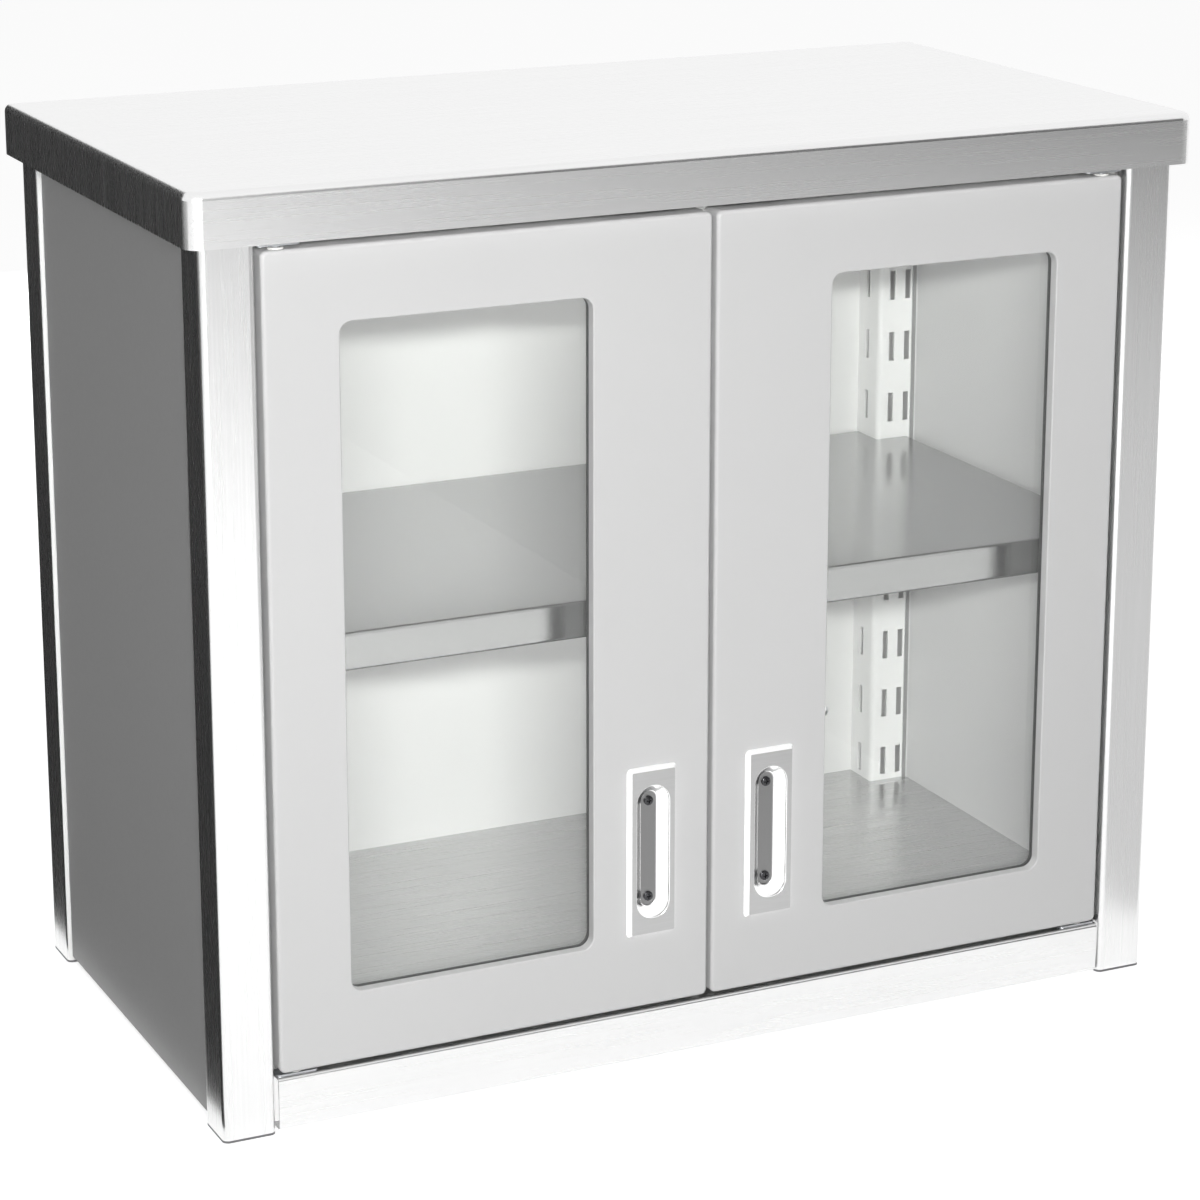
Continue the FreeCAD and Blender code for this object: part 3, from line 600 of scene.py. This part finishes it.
@dataclass
class PanScrew:
    """A pan-head screw with a cross recess and a rolled thread."""

    head_radius: float
    head_height: float
    shank_radius: float
    reach: float
    crown_sag: float = 0.25
    head_round: float = 0.6
    recess_half_width: float = 0.42
    recess_half_length: float = 1.75
    recess_depth: float = 0.9
    recess_edge: float = 0.16
    thread_pitch: float = 0.7
    thread_depth: float = 0.22
    # The thread starts this far under the head and ends this far before the tip.
    thread_start: float = 0.05
    thread_end: float = 0.4
    tip_length: float = 0.5
    tip_share: float = 0.7
    around: int = 72
    rings_crown: int = 30
    rings_rim: int = 6
    rings_thread: int = 48
    sharp_degrees: float = 38.0

    def profile(self) -> tuple[np.ndarray, np.ndarray]:
        """Works out the outline from the crown to the tip.

        The crown falls with the square of its radius, a quarter circle rounds its rim, straight
        lines make the side and the seat, and the shank runs down to a short point.

        Returns:
            Radii and heights above the seat, without the two poles.
        """
        flat = self.head_radius - self.head_round
        share = np.linspace(0.0, 1.0, self.rings_crown + 1)[1:]
        crown_r, crown_h = flat * share, self.head_height - self.crown_sag * share ** 2
        turn = np.linspace(0.0, math.pi / 2, self.rings_rim + 1)[1:]
        rim_r = flat + self.head_round * np.sin(turn)
        rim_h = crown_h[-1] - self.head_round * (1.0 - np.cos(turn))
        seat_r = np.array([self.head_radius, self.shank_radius])
        shank_r = np.full(self.rings_thread, self.shank_radius)
        shank_h = np.linspace(0.0, self.tip_length - self.reach, self.rings_thread + 1)[1:]
        tip_r, tip_h = np.array([self.shank_radius * self.tip_share]), np.array([-self.reach])
        radii = np.concatenate([crown_r, rim_r, seat_r, shank_r, tip_r])
        heights = np.concatenate([crown_h, rim_h, np.zeros(2), shank_h, tip_h])
        return radii, heights

    def cross(self, x: np.ndarray, y: np.ndarray) -> np.ndarray:
        """Works out the recess: the larger of two bars, each the product of two smooth steps.

        Args:
            x: distances along one arm.
            y: distances along the other.

        Returns:
            1 inside the cross, 0 outside and a smooth step over its edge.
        """
        def step(values: np.ndarray) -> np.ndarray:
            """Smooth step over the width of the recess's edge."""
            share = np.clip(values / self.recess_edge, 0.0, 1.0)
            return share * share * (3.0 - 2.0 * share)

        def bar(one: np.ndarray, other: np.ndarray) -> np.ndarray:
            """One arm of the cross."""
            width = step(self.recess_half_width - np.abs(one))
            return width * step(self.recess_half_length - np.abs(other))

        return np.maximum(bar(x, y), bar(y, x))

    def surface(self) -> tuple[np.ndarray, Faces]:
        """Turns the outline about the axis and works the recess and the thread into it.

        Height over the crown drops by the recess depth times the cross.  On the shank the radius
        drops by a triangle wave of height over pitch less angle over a full turn, a helix.

        Returns:
            Points with the axis along Z and the seat at zero, and the faces, outward.
        """
        radii, heights = self.profile()
        angle = np.arange(self.around) * (2 * math.pi / self.around)
        radius = np.repeat(radii[:, None], self.around, axis=1)
        height = np.repeat(heights[:, None], self.around, axis=1)
        wave = height / self.thread_pitch - angle[None, :] / (2 * math.pi)
        saw = np.abs(2.0 * (wave - np.floor(wave)) - 1.0)
        threaded = (height < -self.thread_start) & (height > self.thread_end - self.reach)
        radius = np.where(threaded, radius - self.thread_depth * saw, radius)
        x, y = radius * np.cos(angle), radius * np.sin(angle)
        on_crown = np.arange(len(radii))[:, None] < self.rings_crown
        height = height - self.recess_depth * np.where(on_crown, self.cross(x, y), 0.0)
        grid = np.stack([x, y, height], axis=2).reshape(-1, 3)
        deepest = self.head_height - self.recess_depth
        poles = np.array([[0.0, 0.0, deepest], [0.0, 0.0, heights[-1]]])
        index = np.arange(grid.shape[0]).reshape(len(radii), self.around)
        right = np.roll(index, -1, axis=1)
        quads = np.stack([index[:-1], index[1:], right[1:], right[:-1]], axis=2).reshape(-1, 4)
        top, bottom = grid.shape[0], grid.shape[0] + 1
        crown = np.stack([np.full(self.around, top), index[0], right[0]], axis=1)
        tip = np.stack([np.full(self.around, bottom), right[-1], index[-1]], axis=1)
        return np.concatenate([grid, poles]), quads.tolist() + crown.tolist() + tip.tolist()

    def placed(self, name: str, seats: Iterable[Point], out: Vector,
               finish: Finish) -> bpy.types.Object:
        """Makes one mesh of equal screws.

        Args:
            name: the object's name.
            seats: where each head sits, in millimetres.
            out: direction from the seat to the crown.
            finish: what they are made of.

        Returns:
            The object.
        """
        points, faces = self.surface()
        turn = np.array(Vector((0.0, 0.0, 1.0)).rotation_difference(out).to_matrix())
        turned = points @ turn.T
        all_points, all_faces = [], []
        for number, seat in enumerate(seats):
            all_points.append(turned + np.array(seat))
            all_faces += [[corner + number * len(points) for corner in face] for face in faces]
        made = mesh_object(name, np.concatenate(all_points), all_faces)
        made.data.polygons.foreach_set("use_smooth", np.ones(len(made.data.polygons), dtype=bool))
        made.data.set_sharp_from_angle(angle=math.radians(self.sharp_degrees))
        made.data.materials.append(finish.material())
        log.info("%s: %d faces", made.name, len(made.data.polygons))
        return made


@dataclass
class Carcass:
    """Cap, frame, panels and what stands inside."""

    catch_screw_inset: float = 4.5
    catch_screw_back: float = 3.4
    catch_screw: PanScrew = field(default_factory=lambda: PanScrew(
        head_radius=2.4, head_height=1.1, shank_radius=1.2, reach=8.0, crown_sag=0.15,
        head_round=0.4, recess_half_width=0.32, recess_half_length=1.3, recess_depth=0.6,
        thread_depth=0.15))

    def dress(self) -> None:
        """Gives every carcass node its finish."""
        pairs = [side.label for side in Side]
        dress(["top_cap"], CAP_STEEL)
        dress([f"front_{side}_post" for side in pairs], POST_STEEL)
        dress([f"rear_{side}_post" for side in pairs], REAR_POST_STEEL)
        dress(["front_header", "rear_header"], HEADER_STEEL)
        dress([f"{side}_top_rail" for side in pairs], HEADER_STEEL)
        dress([f"{side}_side_panel" for side in pairs], PANEL_PAINT_WITH_SHADE)
        dress(["back_panel", "ceiling_panel"], INNER_PAINT)
        dress(["floor_tray"], TRAY_STEEL)
        dress(["shelf"], SHELF_STEEL)
        dress(["post_end_plugs"] + [f"{side}_catch" for side in pairs], PLASTIC)
        dress(["upper_wall_rail", "lower_wall_rail"], ZINC)
        dress([f"{side}_shelf_rail" for side in pairs], ZINC)
        dress([f"{side}_{level}_pivot" for side in pairs for level in ("upper", "lower")], ZINC)
        dress([f"{side}_catch_magnet" for side in pairs], FERRITE)

    def build(self) -> None:
        """Drives two screws up through each catch, behind its magnet."""
        for side in Side:
            low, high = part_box(f"{side.label}_catch")
            low, high = low / MM, high / MM
            seats = [(x, high.y - self.catch_screw_back, low.z)
                     for x in (low.x + self.catch_screw_inset, high.x - self.catch_screw_inset)]
            made = self.catch_screw.placed(
                f"{side.label}_catch_screws", seats, Vector((0.0, 0.0, -1.0)), ZINC)
            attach(made, "carcass")


@dataclass
class Door:
    """One glazed door with its flush pull."""

    side: Side
    screw_from_end: float = 25.5
    cup_floor: float = -170.0
    screw: PanScrew = field(default_factory=lambda: PanScrew(
        head_radius=3.2, head_height=1.6, shank_radius=1.85, reach=4.0))

    def dress(self) -> None:
        """Gives every node of the door its finish."""
        label = self.side.label
        dress([f"{label}_door_skin", f"{label}_door_liner"], DOOR_PAINT)
        dress([f"{label}_door_glass"], PANE)
        dress([f"{label}_door_gasket"], RUBBER)
        dress([f"{label}_{level}_bearing_block" for level in ("upper", "lower")], NYLON)
        dress([f"{label}_pull"], PULL_STEEL)
        dress([f"{label}_pull_clamp", f"{label}_strike_plate"], ZINC)

    def build(self) -> None:
        """Sets the two screws in the pull's cup in place of their plain CAD shapes."""
        low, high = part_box(f"{self.side.label}_pull")
        low, high = low / MM, high / MM
        middle = (low.x + high.x) / 2
        heights = (low.z + self.screw_from_end, high.z - self.screw_from_end)
        made = self.screw.placed(f"{self.side.label}_pull_cross_screws",
                                 [(middle, self.cup_floor, z) for z in heights],
                                 Vector((0.0, -1.0, 0.0)), DARK_SCREW)
        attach(made, f"{self.side.label}_door")
        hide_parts(f"{self.side.label}_pull_screws")


class LampKind(Enum):
    """The kinds of lamp in the studio, by Blender's names."""

    PANEL = "AREA"
    SKY = "SUN"


@dataclass
class Lamp:
    """A soft lamp; lengths in metres, power in watts, or watts a square metre for the sky."""

    name: str
    kind: LampKind
    place: Point
    target: Point
    power: float
    width: float = 1.0
    height: float = 1.0
    spread: float = 0.0
    mirrored: bool = False

    def build(self) -> None:
        """Hangs the lamp out of sight; one that isn't mirrored lights paint only."""
        data = bpy.data.lights.new(self.name, self.kind.value)
        data.energy = self.power
        if self.kind is LampKind.PANEL:
            data.shape = "RECTANGLE"
            data.size, data.size_y = self.width, self.height
        else:
            data.angle = math.radians(self.spread)
        made = bpy.data.objects.new(self.name, data)
        bpy.context.scene.collection.objects.link(made)
        made.location = self.place
        ahead = Vector(self.target) - Vector(self.place)
        made.rotation_euler = ahead.to_track_quat("-Z", "Y").to_euler()
        made.visible_camera = False
        made.visible_transmission = False
        made.visible_glossy = self.mirrored


@dataclass(frozen=True)
class FloorPaper(Finish):
    """Pale studio paper that reads white round the object and keeps its shadow."""

    cloud: float = 900.0
    cloud_depth: float = 0.01
    # Light of its own, which only what looks straight at the paper sees.
    glow: float = 0.72

    def shade(self, tree: Tree) -> Socket:
        """Matt paper that takes the shadow, lifted towards white for what looks at it.

        Args:
            tree: the material's empty node tree.

        Returns:
            The shader's output socket.
        """
        cloud = noise(tree, own_place(tree), self.cloud)
        colour = mottle(tree, cloud, self.colour, self.cloud_depth)
        paper = add_node(tree, "ShaderNodeBsdfDiffuse", {"Color": colour}).outputs[0]
        level = calc(tree, "MULTIPLY", seen_directly(tree), self.glow)
        glow = add_node(tree, "ShaderNodeEmission", {"Color": WHITE, "Strength": level}).outputs[0]
        return add_node(tree, "ShaderNodeAddShader", {0: paper, 1: glow}).outputs[0]


@dataclass(frozen=True)
class GradedCard(Finish):
    """A studio card for metal to mirror, that fades from one tone to another along a slant."""

    dark: str = "2C2C2C"
    along: Point = (1.0, -0.5, 0.0)
    # Where the fade starts and stops, in metres along that direction.
    fade_from: float = 0.0
    fade_to: float = 1.0

    def shade(self, tree: Tree) -> Socket:
        """Even light of its own, from the first tone at one end to the second at the other.

        Args:
            tree: the material's empty node tree.

        Returns:
            The shader's output socket.
        """
        place = own_place(tree)
        inputs = {0: place, 1: self.along}
        across = add_node(tree, "ShaderNodeVectorMath", inputs, operation="DOT_PRODUCT")
        share = ramp(tree, across.outputs["Value"], (0.0, 1.0), self.fade_from, self.fade_to)
        tone = blend(tree, share, to_linear(self.colour), to_linear(self.dark))
        return add_node(tree, "ShaderNodeEmission", {"Color": tone}).outputs[0]


RIGHT_CARD = GradedCard("graded_card_right", "E0E0E0", fade_from=3.25, fade_to=3.85)
LEFT_CARD = GradedCard("dark_card_left", "2C2C2C", dark="303030")


@dataclass
class Studio:
    """Floor, light and the cards that the metal mirrors; lengths here are in metres."""

    floor_reach: float = 14.0
    floor_level: float = -0.0005
    # Share of the white surroundings that paint gets as soft light.
    fill: float = 0.08
    floor_paper: FloorPaper = FloorPaper("white_studio_paper", "BCBCBC")
    cards: tuple[tuple[str, Point, Point, GradedCard], ...] = (
        ("card_right_lying", (0.38, -4.6, 0.004), (4.6, -0.25, 0.004), RIGHT_CARD),
        ("card_right_standing", (0.55, -4.6, 0.0), (4.6, -4.6, 2.6), RIGHT_CARD),
        ("card_left_lying", (-3.6, -0.18, 0.004), (-0.352, 3.4, 0.004), LEFT_CARD),
        ("card_left_standing", (-3.6, 3.4, 0.0), (-0.352, 3.4, 2.6), LEFT_CARD),
    )
    # The strip just above the camera is the main lamp; the panels light sides, back and inside.
    lamps: tuple[Lamp, ...] = (
        Lamp("key", LampKind.PANEL, (-0.45, -2.00, 1.75), (0.0, 0.0, 0.3), 1.0, 1.3, 1.3),
        Lamp("strip", LampKind.PANEL, (-0.90, -2.15, 1.07), (0.0, -0.17, 0.3), 46.0, 0.7, 0.05,
             mirrored=True),
        Lamp("overhead", LampKind.SKY, (0.0, 0.0, 4.0), (0.0, 0.0, 0.0), 1.2, spread=45.0),
        Lamp("left_side", LampKind.PANEL, (-2.4, 0.5, 0.40), (-0.34, 0.0, 0.32), 11.0, 0.9, 0.6),
        Lamp("right_side", LampKind.PANEL, (2.4, 0.5, 0.40), (0.34, 0.0, 0.32), 20.0, 0.9, 0.6),
        Lamp("behind", LampKind.PANEL, (0.0, 2.5, 0.40), (0.0, 0.19, 0.32), 30.0, 0.9, 0.6),
        Lamp("inside_upper", LampKind.PANEL, (0.0, -0.02, 0.56), (0.0, 0.02, 0.0), 0.44,
             0.55, 0.22),
        Lamp("inside_lower", LampKind.PANEL, (0.0, -0.02, 0.28), (0.0, 0.02, 0.0), 0.44,
             0.55, 0.22),
    )

    def sheet(self, name: str, low: Point, high: Point, paper: Finish) -> bpy.types.Object:
        """Lays a level sheet of paper, or stands one up where its two corners share a Y.

        Args:
            name: the object's name.
            low: the corner with the lowest numbers, in metres.
            high: the corner opposite to it.
            paper: its finish.

        Returns:
            The stage object.
        """
        (x0, y0, z0), (x1, y1, z1) = low, high
        corners = np.array([[x0, y0, z0], [x1, y0, z0], [x1, y1, z1], [x0, y1, z1]]) / MM
        made = mesh_object(name, corners, [[0, 1, 2, 3]])
        made.data.materials.append(paper.material())
        return made

    def build(self) -> None:
        """Lays the floor and cards and hangs the lamps."""
        reach, level = self.floor_reach, self.floor_level
        self.sheet("floor", (-reach, -reach, level), (reach, reach, level), self.floor_paper)
        for name, low, high, paper in self.cards:
            card = self.sheet(name, low, high, paper)
            # The cards are seen in mirrors only, so they neither show, light nor throw shadows.
            card.visible_camera = card.visible_transmission = False
            card.visible_diffuse = card.visible_shadow = False
        for lamp in self.lamps:
            lamp.build()
        self.light_world()

    def light_world(self) -> None:
        """White surroundings for the eye and for mirrors, a lower level of soft light for paint."""
        world = bpy.data.worlds.new("white_studio")
        bpy.context.scene.world = world
        world.use_nodes = True
        tree = world.node_tree
        tree.nodes.clear()
        level = ramp(tree, seen_directly(tree), (self.fill, 1.0))
        light = add_node(tree, "ShaderNodeBackground", {"Color": WHITE, "Strength": level})
        add_node(tree, "ShaderNodeOutputWorld", {"Surface": light.outputs[0]})


@dataclass
class PhotoCamera:
    """The photograph's viewpoint, in millimetres and degrees."""

    place: Point = (-1016.3, -2150.6, 983.3)
    azimuth: float = -25.359
    elevation: float = 14.922
    lens: float = 108.263
    shift_y: float = -0.1
    sight: float = 100_000.0

    def build(self) -> None:
        """Sets the camera up and makes it the scene's."""
        data = bpy.data.cameras.new("photo_camera")
        data.lens, data.shift_y = self.lens, self.shift_y
        data.clip_end = self.sight * MM
        made = bpy.data.objects.new("photo_camera", data)
        bpy.context.scene.collection.objects.link(made)
        turn, tilt = math.radians(self.azimuth), math.radians(self.elevation)
        level = math.cos(tilt)
        ahead = Vector((-math.sin(turn) * level, math.cos(turn) * level, -math.sin(tilt)))
        made.location = Vector(self.place) * MM
        made.rotation_euler = ahead.to_track_quat("-Z", "Y").to_euler()
        bpy.context.scene.camera = made


def main() -> None:
    """Builds the cabinet's looks, the studio and the camera."""
    logging.basicConfig(level=logging.INFO, format="%(name)s %(message)s")
    bpy.context.scene.view_settings.view_transform = "Standard"
    for part in (Carcass(), Door(Side.LEFT), Door(Side.RIGHT)):
        part.dress()
        part.build()
    Studio().build()
    PhotoCamera().build()


if __name__ == "__main__":
    main()
